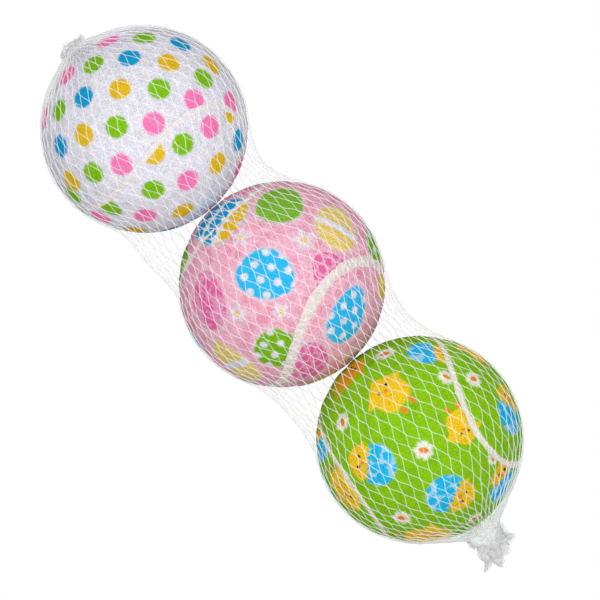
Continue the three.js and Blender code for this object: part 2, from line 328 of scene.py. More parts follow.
def grid_faces(rows, cols, wrap_rows=False, wrap_cols=False):
    """The quads of a grid of rows x cols points, numbered row by row."""
    i = np.arange(rows if wrap_rows else rows - 1)[:, None]
    j = np.arange(cols if wrap_cols else cols - 1)[None, :]
    down = (i + 1) % rows
    across = (j + 1) % cols
    corners = [i * cols + j, i * cols + across, down * cols + across, down * cols + j]
    return np.stack([np.broadcast_to(c, (i.size, j.size)) for c in corners], axis=-1).reshape(-1, 4)


def smooth_step(f):
    f = np.clip(f, 0, 1)
    return f * f * (3 - 2 * f)


# ---- Shader graphs ----
class Wire:
    """A shader socket that can be combined with numbers and other wires."""

    def __init__(self, tree, socket):
        self.tree = tree
        self.socket = socket

    def math(self, operation, *others):
        node = self.tree.nodes.new("ShaderNodeMath")
        node.operation = operation
        for slot, value in zip(node.inputs, (self, *others)):
            put(self.tree, slot, value)
        return Wire(self.tree, node.outputs[0])

    def __add__(self, other):
        return self.math("ADD", other)

    def __sub__(self, other):
        return self.math("SUBTRACT", other)

    def __mul__(self, other):
        return self.math("MULTIPLY", other)

    def __truediv__(self, other):
        return self.math("DIVIDE", other)

    def __rsub__(self, other):
        return self * -1 + other

    __radd__ = __add__
    __rmul__ = __mul__

    def abs(self):
        return self.math("ABSOLUTE")

    def between_0_and_1(self):
        return self.math("MAXIMUM", 0.0).math("MINIMUM", 1.0)

    def below(self, edge, blur):
        """1 where this is below edge and 0 above, with a soft step blur wide."""
        return ((edge - self) / blur + 0.5).between_0_and_1()

    def is_number(self, number):
        return self.math("COMPARE", number, 0.4)


def put(tree, slot, value):
    """Connects a wire to an input, or sets the input to a plain value."""
    if isinstance(value, Wire):
        tree.links.new(value.socket, slot)
    elif isinstance(value, tuple) and len(value) == 3 and slot.type == "RGBA":
        slot.default_value = (*value, 1)
    else:
        slot.default_value = value


def larger(a, b):
    return a.math("MAXIMUM", b)


def hypotenuse(a, b):
    return (a * a + b * b).math("SQRT")


def add_node(tree, kind, output=0, **inputs):
    """A node with its inputs set, as a wire from one of its outputs."""
    node = tree.nodes.new(kind)
    for key, value in inputs.items():
        put(tree, node.inputs[key], value)
    return Wire(tree, node.outputs[output])


def mix(tree, factor, a, b):
    """Colour a where factor is 0 and b where it is 1."""
    node = tree.nodes.new("ShaderNodeMix")
    node.data_type = "RGBA"
    put(tree, node.inputs[0], factor)
    put(tree, node.inputs[6], a)
    put(tree, node.inputs[7], b)
    return Wire(tree, node.outputs[2])


def attribute(tree, name, output):
    node = tree.nodes.new("ShaderNodeAttribute")
    node.attribute_name = name
    return Wire(tree, node.outputs[output])


def split(tree, vector):
    node = tree.nodes.new("ShaderNodeSeparateXYZ")
    put(tree, node.inputs[0], vector)
    return [Wire(tree, socket) for socket in node.outputs]


def object_place(tree):
    node = tree.nodes.new("ShaderNodeTexCoord")
    return Wire(tree, node.outputs["Object"])


def noise(tree, per_mm, detail=2.0):
    """Noise from 0 to 1 with about per_mm lumps in a millimetre."""
    return add_node(
        tree, "ShaderNodeTexNoise", 0, Vector=object_place(tree), Scale=per_mm / MM, Detail=detail
    )


def spots(tree, per_mm, vector=None):
    """The distance from 0 to about 1 to the nearest of random points, per_mm in a millimetre."""
    where = vector or object_place(tree)
    scale = per_mm if vector else per_mm / MM
    return add_node(tree, "ShaderNodeTexVoronoi", 0, Vector=where, Scale=scale)


def new_material(name):
    material = bpy.data.materials.new(name)
    material.use_nodes = True
    tree = material.node_tree
    shader = next(node for node in tree.nodes if node.type == "BSDF_PRINCIPLED")
    return material, tree, shader


def bump(tree, shader, height, distance, strength):
    made = add_node(
        tree, "ShaderNodeBump", 0, Height=height, Distance=distance * MM, Strength=strength
    )
    put(tree, shader.inputs["Normal"], made)


def lighten(tree, shader, base, light):
    """Sets the base colour, made lighter or darker by light."""
    lit = add_node(tree, "ShaderNodeHueSaturation", 0, Color=base, Value=light)
    put(tree, shader.inputs["Base Color"], lit)


# ---- Prints ----
# Each takes a place in its motif and returns layers (colour, mask), lowest first.
class Place:
    """Where a point of the felt is in its motif: across and along in mm, and x and y as shares of
    its half width and half length. The fibres make the print's edges wobble."""

    def __init__(self, tree):
        wobble = 1.1
        wobble_x = (noise(tree, 1.0, 3) - 0.5) * wobble
        wobble_y = (noise(tree, 1.1, 3) - 0.5) * wobble
        across, along, self.size = split(tree, attribute(tree, "motif_xy", "Vector"))
        self.kind, self.pattern, self.width = split(tree, attribute(tree, "motif_kind", "Vector"))
        self.across = across + wobble_x
        self.along = along + wobble_y
        self.x = self.across / (self.size * self.width)
        self.y = self.along / self.size
        self.tint = attribute(tree, "motif_tint", "Color")
        self.vector = attribute(tree, "motif_xy", "Vector")
        self.grain = noise(tree, 1.3, 4)


def staggered_dots(place, pitch_x, pitch_y, radius):
    """Round dots in rows, every other row moved by half a pitch."""
    row = (place.along / pitch_y).math("FLOOR")
    fx = (place.across / pitch_x + row * 0.5 + 0.2).math("FRACT") - 0.5
    fy = (place.along / pitch_y).math("FRACT") - 0.5
    return hypotenuse(fx * pitch_x, fy * pitch_y).below(radius, 0.7)


def waves(place, pitch, sharpness):
    """Wavy lines across the motif, 0 to 1."""
    bend = (place.across * 1.1).math("SINE") * 0.25 + place.grain * 0.8
    wave = ((place.along + bend) * (2 * PI / pitch)).math("SINE") * 0.5 + 0.5
    return wave.math("POWER", sharpness)


def scallops(place, pitch):
    """Rows of overlapping scales, 1 on their pale rims."""
    row = (place.along / pitch).math("FLOOR")
    fx = ((place.across / pitch + row * 0.5).math("FRACT") - 0.5) * 2
    fy = (place.along / pitch).math("FRACT")
    rim = (hypotenuse(fx, 1.15 - fy) - 0.95).abs().below(0.15, 0.22)
    return larger(rim, hypotenuse(fx, fy - 0.25).below(0.22, 0.25))


def print_dot(tree, place):
    far = hypotenuse(place.x, place.y)
    return [(PAPER, far.below(1.22, 0.4) * 0.5), (place.tint, far.below(1.0, 0.24))]


def print_egg(tree, place):
    """An egg with its narrow end at the top, with one of the patterns."""
    far = hypotenuse(place.x / (1 - 0.17 * place.y), place.y)
    inside = far.below(1.0, 0.10)
    band = (place.y + 0.05).abs().below(0.14, 0.08) + waves(place, 1.9, 1.5) * 0.45
    blotches = spots(tree, 0.26, place.vector).math("GREATER_THAN", 0.52)
    blossom = larger(blotches, staggered_dots(place, 3.1, 3.1, 0.55))
    pale = (
        staggered_dots(place, 5.4, 4.4, 1.2) * place.pattern.is_number(DOTTED)
        + waves(place, 1.3, 2) * 0.12 * place.pattern.is_number(STRIPED)
        + band * place.pattern.is_number(BANDED)
        + blossom * 0.32 * place.pattern.is_number(FLOWERED)
        + scallops(place, 3.2) * 0.45 * place.pattern.is_number(SCALLOPED)
    ).between_0_and_1()
    layers = [(PAPER, far.below(1.10, 0.20) * 0.45), (mix(tree, pale, place.tint, PAPER), inside)]
    return layers + beads(tree, place, inside * place.pattern.is_number(BEADED))


def beads(tree, place, inside):
    """Rows of long beads on a pale ground, the lowest row yellow and the others in the tint."""
    wide, long, shift = 3.7, 7.2, 0.62
    row = (place.along / long + shift).math("FLOOR")
    fx = ((place.across / wide).math("FRACT") - 0.5) * wide / 1.7
    fy = ((place.along / long + shift).math("FRACT") - 0.5) * long / 3.0
    bead = (fx.abs().math("POWER", 2.4) + fy.abs().math("POWER", 2.4)).below(1.0, 0.35)
    colour = mix(tree, row.below(-0.5, 0.1), place.tint, YELLOW)
    return [(PAPER, inside), (colour, inside * bead)]


def print_flower(tree, place):
    """Five thin white petals and a small golden heart."""
    angle = place.y.math("ARCTAN2", place.x)
    reach = (angle * 2.5).math("SINE").abs() * 0.6 + 0.4
    far = hypotenuse(place.x, place.y)
    petals = (far / reach).below(0.82, 0.5) * 0.8
    return [(PAPER, petals), (GOLD, far.below(0.22, 0.14) * 0.9)]


def print_daisy(tree, place):
    """Seven blunt white petals and an orange oval heart."""
    angle = place.y.math("ARCTAN2", place.x)
    reach = (angle * 3.5).math("SINE").abs() * 0.20 + 0.74
    far = hypotenuse(place.x, place.y)
    heart = hypotenuse(place.x, place.y * 1.5)
    return [(PETAL, (far / reach).below(0.98, 0.35)), (ORANGE, heart.below(0.44, 0.2))]


def down_colour(tree, place):
    """Yellow down with darker flecks."""
    flecks = (place.grain - 0.56).below(0.0, 0.12) * -1 + 1
    return mix(tree, flecks * 0.4, place.tint, FLECK)


def face(place, lift, apart):
    """Two black eyes and an orange beak, on a chick whose face is lift above the middle."""
    eyes = hypotenuse(place.x.abs() - apart, place.y - lift).below(0.075, 0.05)
    beak = hypotenuse(place.x, (place.y - lift + 0.16) * 1.4).below(0.10, 0.08)
    return [(ORANGE, beak), (INK, eyes)]


def print_chick(tree, place):
    """A plain square-bodied chick with two pointed wings and two feet."""
    side = place.x.abs()
    high = place.y.abs()
    body = ((side / 0.74).math("POWER", 2.8) + (high / 0.76).math("POWER", 2.8)).below(1.0, 0.3)
    wing = ((place.y - 0.30).abs() * 1.5 + side).below(1.02, 0.1)
    toes = hypotenuse(side - 0.27, (place.y + 0.92) * 0.7).below(0.11, 0.1)
    down = down_colour(tree, place)
    return [(ORANGE, toes), (down, larger(body, wing))] + face(place, 0.34, 0.22)


def print_hatchling(tree, place):
    """The head and wings of a chick above a broken, mottled shell."""
    crack = ((place.x * 3.5).math("FRACT") - 0.5).abs() * 0.34 + 0.02
    side = place.x.abs()
    whole = hypotenuse(place.x, (place.y + 0.24) * 1.30).below(1.0, 0.1)
    shell = whole * (place.y - crack).below(0.0, 0.06)
    head = hypotenuse(side / 0.80, (place.y - 0.36) / 0.60).below(1.0, 0.14)
    wing = ((place.y - 0.40).abs() * 1.6 + side).below(1.0, 0.1)
    patches = spots(tree, 0.36, place.vector).below(0.66, 0.14)
    blue = mix(tree, patches, PALE_SHELL, place.tint)
    flecks = ((place.grain - 0.5) * 3 + 0.2).between_0_and_1()
    yellow = mix(tree, flecks, DOWN, HATCHLING_FLECK)
    return [(yellow, larger(head, wing)), (blue, shell)] + face(place, 0.50, 0.25)


PRINTS = {
    "dot": print_dot, "egg": print_egg, "flower": print_flower, "daisy": print_daisy,
    "chick": print_chick, "hatchling": print_hatchling,
}


def felt_material(name, felt, shade, kinds):
    """Short-haired printed felt. The print comes from the mesh's motif attributes."""
    material, tree, shader = new_material(name)
    fibre = noise(tree, 1.7, 4)
    fine = noise(tree, 4.5, 2)
    cloud = (noise(tree, 0.25, 3) - 0.5) * 1.6 + 0.35
    rosettes = spots(tree, 0.2).below(0.33, 0.14) * 0.45
    base = mix(tree, (cloud + rosettes).between_0_and_1(), felt, shade)
    place = Place(tree)
    for kind in kinds:
        chosen = place.kind.is_number(KINDS[kind])
        for colour, mask in PRINTS[kind](tree, place):
            base = mix(tree, mask * chosen, base, colour)
    light = (fibre - 0.5) * 0.9 + (fine - 0.5) * 0.7 + 1.0
    lighten(tree, shader, base, light)
    put(tree, shader.inputs["Roughness"], 1.0)
    put(tree, shader.inputs["Specular IOR Level"], 0.08)
    bump(tree, shader, fibre + fine * 0.7, 0.3, 0.6)
    return material


def seam_material(name, colour, felt):
    """A soft crinkled bead, with hairs of the felt over its edges and painted shade in its creases."""
    material, tree, shader = new_material(name)
    grain = noise(tree, 1.8, 4)
    fine = noise(tree, 4.0, 2)
    edge = attribute(tree, "seam_edge", "Fac")
    painted_crease_shade = tuple(c * 0.86 for c in colour)
    # Painted shade: the colour turns darker where the grain is low, in the hollows of the bump below.
    base = mix(tree, ((grain - 0.42) * 4).between_0_and_1(), painted_crease_shade, colour)
    hairs = (edge + (noise(tree, 0.9, 3) - 0.5) * 1.6 - 0.40).between_0_and_1()
    base = mix(tree, hairs * 0.8, base, felt)
    light = (fine - 0.5) * 0.5 + 1.0
    lighten(tree, shader, base, light)
    put(tree, shader.inputs["Roughness"], 0.9)
    put(tree, shader.inputs["Specular IOR Level"], 0.15)
    bump(tree, shader, grain + fine * 0.5, 0.35, 0.7)
    return material


def net_material(name, alpha, colour, glow):
    """Translucent white polyethylene, with a painted glow: a steady emission that stands in for the light
    scattered inside it.

    It casts no shadow, and its far side isn't drawn.
    """
    material, tree, shader = new_material(name)
    streak = noise(tree, 0.6, 2)
    cloudy = tuple(c * 0.94 for c in colour)
    near_side = 1 - add_node(tree, "ShaderNodeNewGeometry", "Backfacing")
    lets_light_by = 1 - add_node(tree, "ShaderNodeLightPath", "Is Shadow Ray")
    put(tree, shader.inputs["Base Color"], mix(tree, streak, cloudy, colour))
    put(tree, shader.inputs["Roughness"], streak * 0.25 + 0.35)
    put(tree, shader.inputs["IOR"], 1.5)
    # Painted light: a constant emission makes the plastic glow, though it is no lamp.
    put(tree, shader.inputs["Emission Color"], colour)
    put(tree, shader.inputs["Emission Strength"], glow)
    put(tree, shader.inputs["Alpha"], ((streak - 0.5) * 0.3 + alpha) * near_side * lets_light_by)
    return material


def rubber_material():
    material, tree, shader = new_material("core_rubber")
    grain = noise(tree, 0.8, 4)
    base = mix(tree, grain, (0.030, 0.028, 0.026), (0.060, 0.056, 0.052))
    put(tree, shader.inputs["Base Color"], base)
    put(tree, shader.inputs["Roughness"], grain * 0.2 + 0.6)
    bump(tree, shader, grain, 0.2, 0.4)
    return material


# ---- Balls ----
class Seam:
    """The closed seam of one ball, on a sphere of radius 1 in the ball's own axes."""

    def __init__(self, turn, bend, width, crinkle, pinch=None):
        self.turn = turn_matrix(turn)
        self.bend = bend
        self.width = width
        self.crinkle = crinkle
        self.pinch = picture_direction(*pinch) @ self.turn if pinch else None
        self.t = np.linspace(0, 2 * PI, 720, endpoint=False)
        self.at, self.across = self.curve(self.t)

    def curve(self, t):
        """Points along the seam, and the directions across it at those points."""
        a, b = 1 - self.bend, self.bend
        rise = 2 * math.sqrt(a * b)
        at = [
            a * np.cos(t) + b * np.cos(3 * t),
            a * np.sin(t) - b * np.sin(3 * t),
            rise * np.sin(2 * t),
        ]
        along = [
            -a * np.sin(t) - 3 * b * np.sin(3 * t),
            a * np.cos(t) - 3 * b * np.cos(3 * t),
            2 * rise * np.cos(2 * t),
        ]
        at, along = np.stack(at, -1), np.stack(along, -1)
        return at, unit(np.cross(at, along))

    def half_width(self, t):
        """Half the seam's width, with an uneven edge."""
        at, _ = self.curve(t)
        uneven = 0.10 * ripple(at * BALL_R, 7, 41) + 0.05 * ripple(at * BALL_R, 2.2, 42)
        half = self.width / 2 * (1 + uneven)
        if self.pinch is None:
            return half
        away = BALL_R * np.linalg.norm(at - self.pinch, axis=-1)
        return half * (1 - PINCH_DEPTH * np.exp(-((away / PINCH_REACH) ** 2)))

    def offset(self, t, side):
        """Directions of points that are a length side to the side of the seam."""
        at, across = self.curve(t)
        return unit(at + across * (side / BALL_R)[..., None])

    def nearest(self, directions):
        """For each direction: the seam's distance, which side of it this is, and the seam's t."""
        flat = directions.reshape(-1, 3)
        closeness = flat @ self.at.T
        nearest = closeness.argmax(1)
        distance = BALL_R * np.arccos(np.clip(closeness.max(1), -1, 1))
        side = np.sign((flat * self.across[nearest]).sum(1))
        shape = directions.shape[:-1]
        return distance.reshape(shape), side.reshape(shape), self.t[nearest].reshape(shape)


SEAMS = {name: Seam(**shape) for name, shape in SEAM_SHAPES.items()}


def slerp(p, q, f):
    """Points a fraction f of the way along the great circles from p to q."""
    angle = np.arccos(np.clip((p * q).sum(-1), -1, 1))[..., None]
    safe = np.maximum(np.sin(angle), 1e-9)
    mixed = p * np.sin((1 - f) * angle) / safe + q * np.sin(f * angle) / safe
    return np.where(angle < 1e-6, p, mixed)


def panel_directions(seam, which, rows, cols):
    """Directions of a grid of points over one felt panel, its rows running from seam to seam."""
    t = -which * PI / 4 + PI * np.arange(rows) / (rows - 1)
    far_t = -which * PI / 2 - t
    p = seam.offset(t, which * seam.half_width(t))
    q = seam.offset(far_t, which * seam.half_width(far_t))
    f = np.linspace(0, 1, cols)[None, :, None]
    return slerp(p[:, None, :], q[:, None, :], f)


def fill_back(name, taken, rng):
    """Prints spread over the places that the picture doesn't show."""
    number = np.arange(700) + 0.5
    height = 1 - 2 * number / number.size
    turn = number * PI * (3 - math.sqrt(5))
    ring = np.sqrt(1 - height**2)
    places = np.stack([ring * np.cos(turn), ring * np.sin(turn), height], -1)
    places = places[height < -0.05]
    rng.shuffle(places)
    made = []
    for gap, choices in BACKS[name]:
        for at in places:
            if (BALL_R * np.arccos(np.clip(np.array(taken) @ at, -1, 1))).min() < gap:
                continue
            taken.append(at)
            kind, size, width, tint, pattern = choices[len(made) % len(choices)]
            back = motif(kind, 0, 0, rng.uniform(0, 360), size, width, tint, pattern)
            made.append({**back, "at": at})
    return made


def ball_motifs(name):
    """Every print of a ball, each with the directions of its right and its top."""
    front = FRONTS[name]
    motifs = front + fill_back(name, [m["at"] for m in front], np.random.default_rng(len(name)))
    for m in motifs:
        level = unit(RIGHT - m["at"] * (RIGHT @ m["at"]))
        upright = np.cross(m["at"], level)
        angle = math.radians(m["top"] - 90)
        m["x_axis"] = math.cos(angle) * level + math.sin(angle) * upright
        m["y_axis"] = np.cross(m["at"], m["x_axis"])
    _, sides, _ = SEAMS[name].nearest(np.array([m["at"] for m in motifs]) @ SEAMS[name].turn)
    for m, side in zip(motifs, sides):
        m["sides"] = (1, -1) if m["over_seam"] else (side,)
    return motifs


def paint_motifs(panel, directions, faces, motifs):
    """Gives every face its nearest motif, and its corners' places in that motif's own axes."""
    def gather(key):
        return np.array([m[key] for m in motifs], float)

    corners = directions[faces]
    middles = unit(corners.mean(1))
    size = gather("size")
    away = BALL_R * np.arccos(np.clip(middles @ gather("at").T, -1, 1))
    owner = (away - size).argmin(1)
    place = np.empty(corners.shape)
    place[..., 0] = BALL_R * (corners * gather("x_axis")[owner][:, None]).sum(-1)
    place[..., 1] = BALL_R * (corners * gather("y_axis")[owner][:, None]).sum(-1)
    place[..., 2] = size[owner][:, None]
    kind = np.array([(KINDS[m["kind"]], m["pattern"], m["width"]) for m in motifs], float)[owner]
    tint = np.array([(*m["tint"], 1) for m in motifs])[owner]
    attributes = panel.data.attributes
    attributes.new("motif_xy", "FLOAT_VECTOR", "CORNER").data.foreach_set("vector", place.ravel())
    attributes.new("motif_kind", "FLOAT_VECTOR", "FACE").data.foreach_set("vector", kind.ravel())
    attributes.new("motif_tint", "FLOAT_COLOR", "FACE").data.foreach_set("color", tint.ravel())


def felt_panel(name, which, material, motifs):
    """One felt panel: a napped surface, a rounded edge, and a wall down to the core."""
    seam = SEAMS[name]
    rows, cols = ((330, 165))
    wall = 3
    number = 1 if which > 0 else 2
    directions = panel_directions(seam, which, rows, cols)
    distance, _, t = seam.nearest(directions)
    inside = np.clip(FELT_EDGE_R - (distance - seam.half_width(t)), 0, FELT_EDGE_R)
    drop = FELT_EDGE_R - np.sqrt(FELT_EDGE_R**2 - inside**2)
    lumps = 0.10 * ripple(directions * BALL_R, 7, which + 5)
    tufts = 0.05 * ripple(directions * BALL_R, 1.3, which + 9)
    nap = lumps + tufts
    nap += np.random.default_rng(3).normal(0, 0.02, distance.shape)
    radius = FELT_R - 0.12 - drop + np.clip(nap, -0.25, 0.12)
    depths = np.linspace(CORE_R - FELT_R, -FELT_EDGE_R, wall + 1)[:-1]
    edge = np.repeat(FELT_R + depths[None, :], rows, 0)
    first = np.repeat(directions[:, :1], wall, 1)
    last = np.repeat(directions[:, -1:], wall, 1)
    directions = np.concatenate([first, directions, last], 1)
    radius = np.concatenate([edge, radius, edge[:, ::-1]], 1)
    world = directions.reshape(-1, 3) @ seam.turn.T
    faces = grid_faces(rows, cols + 2 * wall)
    if which > 0:
        faces = faces[:, ::-1]
    points = CENTRES[name] + world * radius.reshape(-1, 1)
    panel = mesh_object(f"{name}_felt_{number}", points, faces, material)
    paint_motifs(panel, world, faces, [m for m in motifs if which in m["sides"]])
    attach(panel, name)
    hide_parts(f"{name}_felt_panel_{number}")


def seam_bead(name, material):
    """The crinkled bead between the panels, a little below the nap."""
    seam = SEAMS[name]
    steps, across = ((1400, 13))
    t = np.linspace(0, 2 * PI, steps, endpoint=False)
    v = np.linspace(-1, 1, across)
    half = seam.half_width(t) + BEAD_TUCK
    directions = np.stack([seam.offset(t, half * each) for each in v], 1)
    crinkle = seam.crinkle * ripple(directions * BALL_R, 1.6, 23)
    crown = 1 - v[None, :] ** 4
    radius = FELT_R - BEAD_SINK + (BEAD_CROWN + crinkle) * crown
    world = directions.reshape(-1, 3) @ seam.turn.T
    faces = grid_faces(steps, across, wrap_rows=True)[:, ::-1]
    points = CENTRES[name] + world * radius.reshape(-1, 1)
    bead = mesh_object(f"{name}_seam_bead", points, faces, material)
    edge = bead.data.attributes.new("seam_edge", "FLOAT", "POINT")
    edge.data.foreach_set("value", np.tile(np.abs(v), steps))
    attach(bead, name)
    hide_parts(f"{name}_seam")


def build_balls():
    """The felt and seams of the three balls, and rubber for the CAD's own core halves."""
    rubber = rubber_material()
    for name, look in BALL_LOOKS.items():
        felt_name = name.replace("_ball", "_felt")
        material = felt_material(felt_name, look["felt"], look["shade"], look["kinds"])
        motifs = ball_motifs(name)
        for which in (1, -1):
            felt_panel(name, which, material, motifs)
        seam_bead(name, seam_material(name.replace("_ball", "_seam"), look["seam"], look["felt"]))
        for half in (1, 2):
            core = frame["nodes"][f"{name}_core_half_{half}"]
            core.data.materials.clear()
            core.data.materials.append(rubber)


# ---- Net ----
def arc(centre_x, centre_y, radius, start, end):
    angles = np.linspace(start, end, 60)
    return np.stack([centre_x + radius * np.cos(angles), centre_y + radius * np.sin(angles)], -1)


def waist_fillet(waist_radius):
    """The radius of the arc that joins two balls, and the angle where it leaves a ball."""
    half = SPACING / 2
    fillet = (waist_radius**2 + half**2 - NET_R**2) / (2 * (NET_R - waist_radius))
    return fillet, math.atan2(waist_radius + fillet, half)


def neck_touch(neck):
    """The angle from the axis at which a neck's straight line leaves its ball."""
    reach, radius = neck
    return math.atan2(radius, reach) + math.acos(NET_R / math.hypot(reach, radius))


def net_outline():
    """The net's outline as points (x from the middle ball's centre, distance from the axis)."""
    half = SPACING / 2
    upper_fillet, upper_touch = waist_fillet(UPPER_WAIST[0])
    lower_fillet, lower_touch = waist_fillet(LOWER_WAIST[0])
    return np.concatenate([
        [(-SPACING - UPPER_NECK[0], UPPER_NECK[1])],
        arc(-SPACING, 0, NET_R, PI - neck_touch(UPPER_NECK), upper_touch),
        arc(-half, UPPER_WAIST[0] + upper_fillet, upper_fillet, upper_touch - PI, -upper_touch),
        arc(0, 0, NET_R, PI - upper_touch, lower_touch),
        arc(half, LOWER_WAIST[0] + lower_fillet, lower_fillet, lower_touch - PI, -lower_touch),
        arc(SPACING, 0, NET_R, PI - lower_touch, neck_touch(LOWER_NECK)),
        [(SPACING + LOWER_NECK[0], LOWER_NECK[1])],
    ])


OUTLINE = net_outline()
ALONG = np.concatenate([[0], np.cumsum(np.linalg.norm(np.diff(OUTLINE, axis=0), axis=1))])
ROWS = round(ALONG[-1] / ROW_PITCH)
PITCH = ALONG[-1] / ROWS


def waist_skew(x, angle):
    """How much farther out a waist is at an angle round it, than its mean outline."""
    out = np.zeros(np.broadcast(x, angle).shape)
    for middle, (radius, skew) in ((-SPACING / 2, UPPER_WAIST), (SPACING / 2, LOWER_WAIST)):
        _, touch = waist_fillet(radius)
        reach = SPACING / 2 - NET_R * math.cos(touch)
        share = np.clip(np.abs(x - middle) / reach, 0, 1)
        out = out - skew * np.cos(share * PI / 2) ** 2 * np.sin(angle)
    return out


def on_net(distance, angle, lift):
    """Points at a distance along the outline, at an angle round it, lift off its surface."""
    def outline(column, distance):
        return np.interp(distance, ALONG, OUTLINE[:, column])

    x = outline(0, distance)
    r = outline(1, distance)
    ahead = outline(0, distance + 0.3) - outline(0, distance - 0.3)
    rise = outline(1, distance + 0.3) - outline(1, distance - 0.3)
    length = np.hypot(ahead, rise)
    r = r + lift * ahead / length + waist_skew(x, angle)
    x = x - lift * rise / length
    return lean(np.stack([x, r * np.sin(angle), r * np.cos(angle)], -1)) + CENTRES["pink_ball"]


def lean(points):
    """Swings the lower neck sideways, about the centre of the green ball."""
    turn = LOWER_LEAN * smooth_step((points[..., 0] - SPACING) / 30)
    x, y, z = points[..., 0] - SPACING, points[..., 1], points[..., 2]
    leaning_x = SPACING + x * np.cos(turn) - y * np.sin(turn)
    leaning_y = x * np.sin(turn) + y * np.cos(turn)
    return np.stack([leaning_x, leaning_y, z], -1)


def tubes(name, paths, radius, material, sides=5):
    """Round strands along paths, an array of paths x points x 3, as one mesh."""
    count, length, _ = paths.shape
    tangent = unit(np.gradient(paths, axis=1))
    normal = unit(np.cross(tangent, np.array([0.31, 0.22, 0.92])))
    other = np.cross(tangent, normal)
    angles = np.linspace(0, 2 * PI, sides, endpoint=False)
    radius = np.broadcast_to(radius, (count, length))[..., None, None]
    cosines, sines = np.cos(angles)[:, None], np.sin(angles)[:, None]
    ring = normal[:, :, None] * cosines + other[:, :, None] * sines
    faces = grid_faces(length, sides, wrap_cols=True)
    all_faces = (faces[None] + (np.arange(count) * length * sides)[:, None, None]).reshape(-1, 4)
    return mesh_object(name, paths[:, :, None] + ring * radius, all_faces, material)


def joint_jitter():
    """A small random shift of every net joint along and round the tube, and off its surface."""
    rng = np.random.default_rng(11)
    shape = (ROWS + 3, 2 * MESHES_ROUND)
    return rng.normal(0, 0.22, shape), rng.normal(0, 0.2, shape), rng.uniform(0, 1, shape)


JITTER = joint_jitter()


def strand_radius(x):
    """Strands bunch together towards the necks, so there they are drawn thicker."""
    return STRAND_R * (1 + 0.6 * smooth_step((np.abs(x) - SPACING - 18) / 14))


def net_strands(first, last):
    """Paths of the strands between two rows of joints, in two families that cross at the joints."""
    rows = np.arange(first, last + 1)
    starts = np.arange(0, 2 * MESHES_ROUND, 2)
    margin = 1.2
    paths = []
    for family in (1, -1):
        steps = starts[:, None] + family * rows[None, :]
        joints = (rows[None, :] + 1, steps % (2 * MESHES_ROUND))
        along, around, off = (table[joints] for table in JITTER)
        distance = np.clip(rows * PITCH + along, margin, ALONG[-1] - margin)
        radius = np.interp(distance, ALONG, OUTLINE[:, 1])
        angle = steps * PI / MESHES_ROUND + around / radius
        side = family * JOINT_HALF_GAP / radius
        thicker = strand_radius(np.interp(distance, ALONG, OUTLINE[:, 0])) - STRAND_R
        lift = thicker + off * JOINT_LIFT
        before = on_net(distance - JOINT_LENGTH / 2, angle - side, lift)
        after = on_net(distance + JOINT_LENGTH / 2, angle + side, lift)
        bow_distance = (distance[:, :-1] + distance[:, 1:]) / 2
        bow_angle = (angle[:, :-1] + angle[:, 1:]) / 2
        bow = on_net(bow_distance, bow_angle, lift[:, :-1] + LEG_BOW)
        points = np.stack([before[:, :-1], after[:, :-1], bow], 2).reshape(len(starts), -1, 3)
        ends = [before[:, -1:], after[:, -1:]] if last == ROWS else [before[:, -1:]]
        paths.append(np.concatenate([points, *ends], 1))
    return np.concatenate(paths)


def row_at(x):
    """The row of joints nearest to x from the middle ball's centre."""
    return int(round(np.interp(x, OUTLINE[:, 0], ALONG) / PITCH))


def build_net():
    """The pockets ride their bodies, and the waists and necks bend between two bodies."""
    # The strands carry a painted glow of strength 0.11.
    material = net_material("net_plastic", 0.50, (0.95, 0.96, 0.97), 0.11)
    middle_x = CENTRES["pink_ball"][0]
    for name, (first, last), bodies, bend, node in NET_PIECES:
        paths = net_strands(row_at(first), row_at(last))
        strands = tubes(name, paths, strand_radius(paths[..., 0] - middle_x), material)
        if bend:
            start, end = (((middle_x + x) * MM, 0, 0) for x in bend)
            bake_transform(strands, *bodies, start=start, end=end)
        else:
            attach(strands, *bodies)
        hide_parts(node)


# ---- Tails ----
def bunch(name, centre, axis, half_length, radius, seed, material):
    """Net pulled tight: a rounded lump with shallow folds that twist along it."""
    stacks, round_ = 70, 120
    theta = np.linspace(0.02, PI - 0.02, stacks)[:, None]
    phi = np.linspace(0, 2 * PI, round_, endpoint=False)[None, :]
    side = unit(np.cross(axis, TOWARDS))
    other = np.cross(axis, side)
    ray = np.cos(phi)[..., None] * side + np.sin(phi)[..., None] * other
    base = radius * np.sin(theta)[..., None] * ray + half_length * np.cos(theta)[..., None] * axis
    folds = 0.06 * np.sin(9 * phi + 3 * np.cos(theta)) * np.sin(theta)
    rough = 1 + folds + 0.12 * ripple(base, 5, seed) + 0.035 * ripple(base, 1.2, seed)
    faces = grid_faces(stacks, round_, wrap_cols=True)[:, ::-1]
    return mesh_object(name, centre + base * rough[..., None], faces, material)


def lobe_points(root, tip, radii, u, phi, layer, seed):
    """Points of a flattened, pleated and crumpled end of the net tube.

    u runs from the root to the tip, phi round the tube and layer from its middle out. radii are the
    tube's half width at the root, half way along and at the tip.
    """
    width = layer * np.interp(u, [0, 0.5, 1], radii)
    axis = tip - root
    side = unit(np.cross(axis, TOWARDS))
    depth = unit(np.cross(axis, side))
    pleated = width * (1 + 0.25 * np.sin(5 * phi + seed + 2 * u) * smooth_step(u * 2))
    points = root + axis * u[..., None]
    points = points + (pleated * np.cos(phi))[..., None] * side
    points = points + (0.6 * pleated * np.sin(phi))[..., None] * depth
    for wavelength, share in ((4.5, 0.42), (1.5, 0.10)):
        shake = np.stack([ripple(points, wavelength, seed + k) for k in range(3)], -1)
        points = points + shake * share * smooth_step(u * 3)[..., None]
    return points


